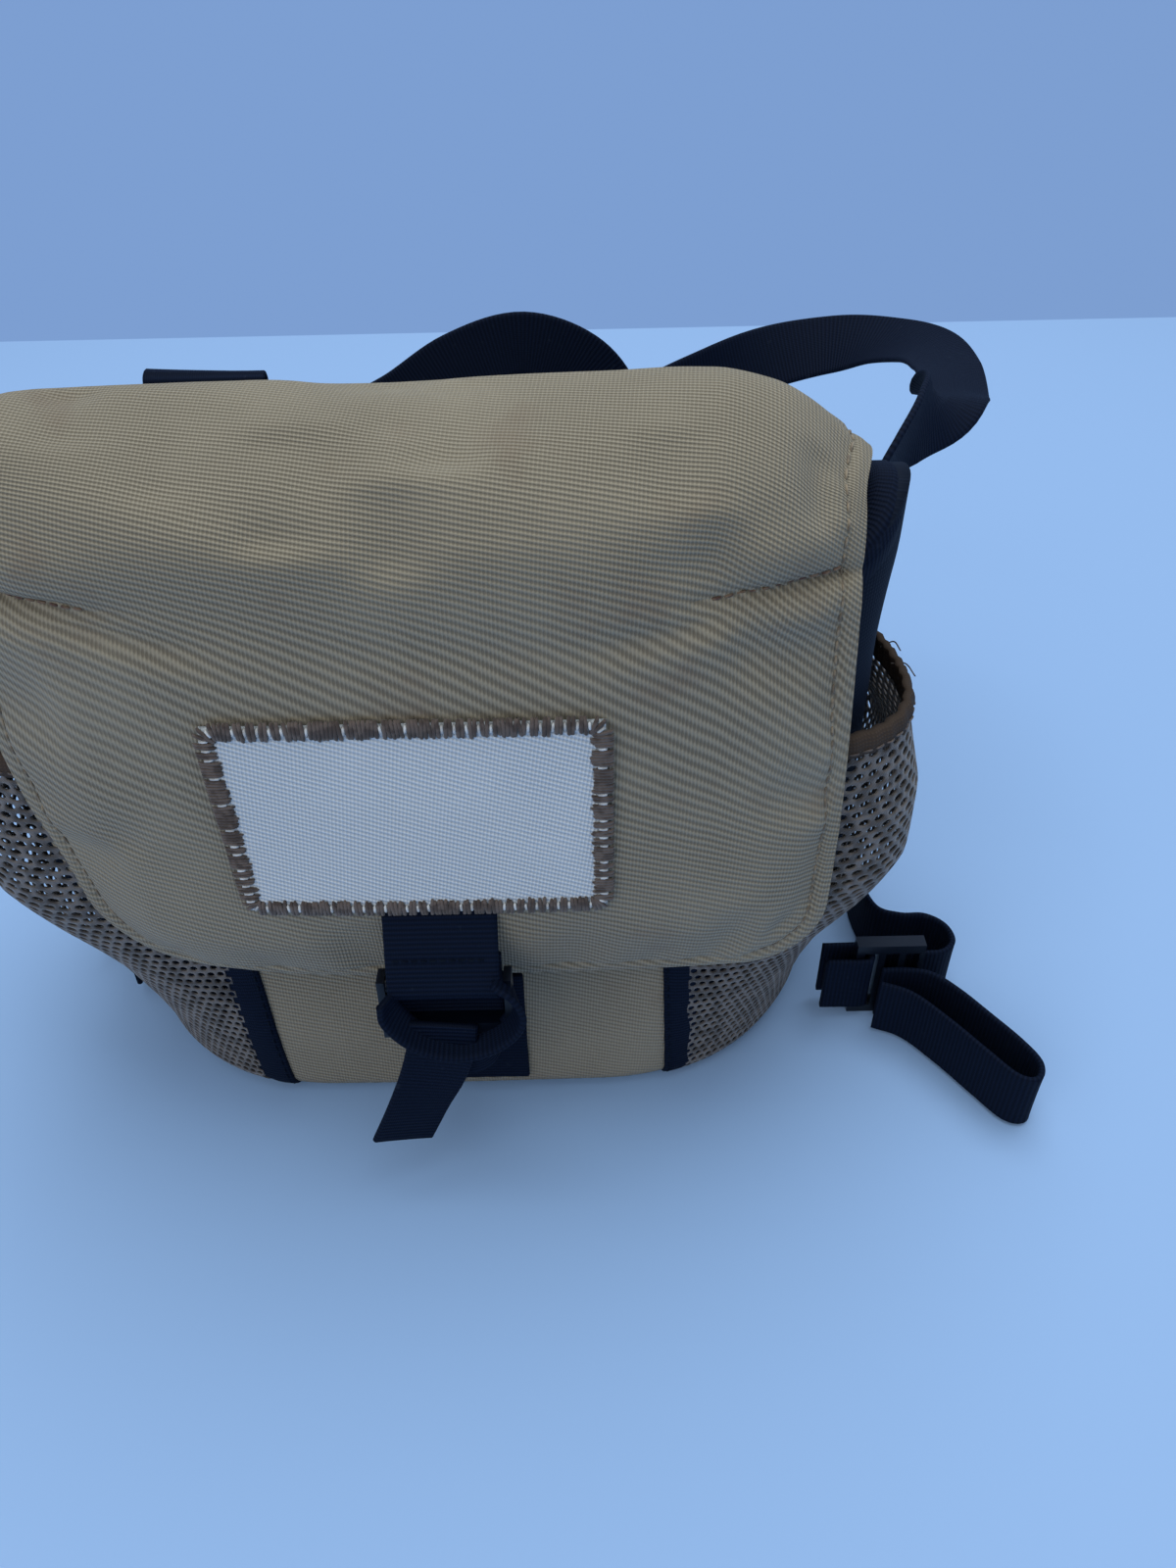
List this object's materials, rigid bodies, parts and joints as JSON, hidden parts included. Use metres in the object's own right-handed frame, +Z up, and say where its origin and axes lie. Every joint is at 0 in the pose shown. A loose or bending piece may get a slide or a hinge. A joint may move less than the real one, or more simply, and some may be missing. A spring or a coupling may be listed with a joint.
{
  "type": "binocular harness pack",
  "caption": "Padded chest pack for binoculars, with a wrap-over lid, a hook closure, two mesh side pockets and a webbing harness.",
  "frame": {"origin": "centre of the base, on the surface that the pack stands on", "axes": "+Z up, -Y out of the front, +X to the right as seen from the front"},
  "size_m": [0.2677, 0.2291, 0.1921],
  "materials": {
    "tan_twill": "coarse padded polyester twill",
    "white_twill": "plain white twill",
    "overlock_thread": "brown and white overlocked border",
    "brown_mesh": "open knitted mesh",
    "brown_binding": "elastic binding",
    "foam": "closed-cell foam",
    "lining": "smooth nylon lining",
    "black_plastic": "moulded acetal, satin",
    "black_cloth": "plain black pack cloth",
    "elastic": "woven elastic",
    "yoke_leather": "black grained patch",
    "black_webbing": "ribbed polypropylene webbing"
  },
  "bodies": {
    "pack": {"back_foam": "foam", "back_lining": "lining", "back_outer": "black_cloth", "base_foam": "foam", "base_lining": "lining", "base_outer": "black_cloth", "base_webbing": "black_webbing", "front_foam": "foam", "front_lining": "lining", "front_outer": "tan_twill", "hinge_tape": "black_webbing", "keeper_loop": "elastic", "left_foam": "foam", "left_front_strip": "black_webbing", "left_ladder_lock": "black_plastic", "left_lining": "lining", "left_lower_anchor": "black_webbing", "left_lower_strap": "black_webbing", "left_outer": "black_cloth", "left_pocket_elastic": "brown_binding", "left_pocket_mesh": "brown_mesh", "left_rear_loop": "black_webbing", "left_shoulder_strap": "black_webbing", "left_strap_tail": "black_webbing", "left_upper_anchor": "black_webbing", "right_foam": "foam", "right_front_strip": "black_webbing", "right_ladder_lock": "black_plastic", "right_lining": "lining", "right_lower_anchor": "black_webbing", "right_lower_strap": "black_webbing", "right_outer": "black_cloth", "right_pocket_elastic": "brown_binding", "right_pocket_mesh": "brown_mesh", "right_rear_loop": "black_webbing", "right_shoulder_strap": "black_webbing", "right_strap_tail": "black_webbing", "right_upper_anchor": "black_webbing", "rim_binding": "black_webbing", "yoke_back_patch": "yoke_leather", "yoke_front_patch": "yoke_leather"},
    "lid": {"lid_outer": "tan_twill", "lid_foam": "foam", "lid_lining": "lining", "closure_anchor": "black_webbing", "patch_border": "overlock_thread", "patch_field": "white_twill"},
    "closure_strap": {"closure_strap": "black_webbing"},
    "closure_hook": {"closure_hook": "black_plastic"},
    "pull_tab": {"pull_tab": "black_webbing"},
    "right_slider": {"right_slider": "black_plastic"},
    "left_slider": {"left_slider": "black_plastic"}
  },
  "joints": [
    {"name": "lid_hinge", "type": "hinge", "parent": "pack", "child": "lid", "pos_m": [0, 0.0445, 0.157], "axis": [-1, 0, 0], "range_deg": [0, 100], "deforming": ["keeper_loop"]},
    {"name": "closure_strap_hinge", "type": "hinge", "parent": "lid", "child": "closure_strap", "pos_m": [0.0008, -0.0602, 0.0848], "axis": [-1, 0, 0], "range_deg": [0, 90]},
    {"name": "hook_pivot", "type": "hinge", "parent": "closure_strap", "child": "closure_hook", "pos_m": [0.0008, -0.06411, 0.06857], "axis": [-1, 0, 0], "range_deg": [0, 50]},
    {"name": "pull_tab_hinge", "type": "hinge", "parent": "closure_hook", "child": "pull_tab", "pos_m": [-0.0002, -0.0693, 0.059], "axis": [-1, 0, 0], "range_deg": [0, 40]},
    {"name": "right_slider_slide", "type": "slide", "parent": "pack", "child": "right_slider", "axis": [0, 0, 1], "range_m": [-0.006, 0.006]},
    {"name": "left_slider_slide", "type": "slide", "parent": "pack", "child": "left_slider", "axis": [0, 0, 1], "range_m": [-0.002, 0.006]}
  ]
}
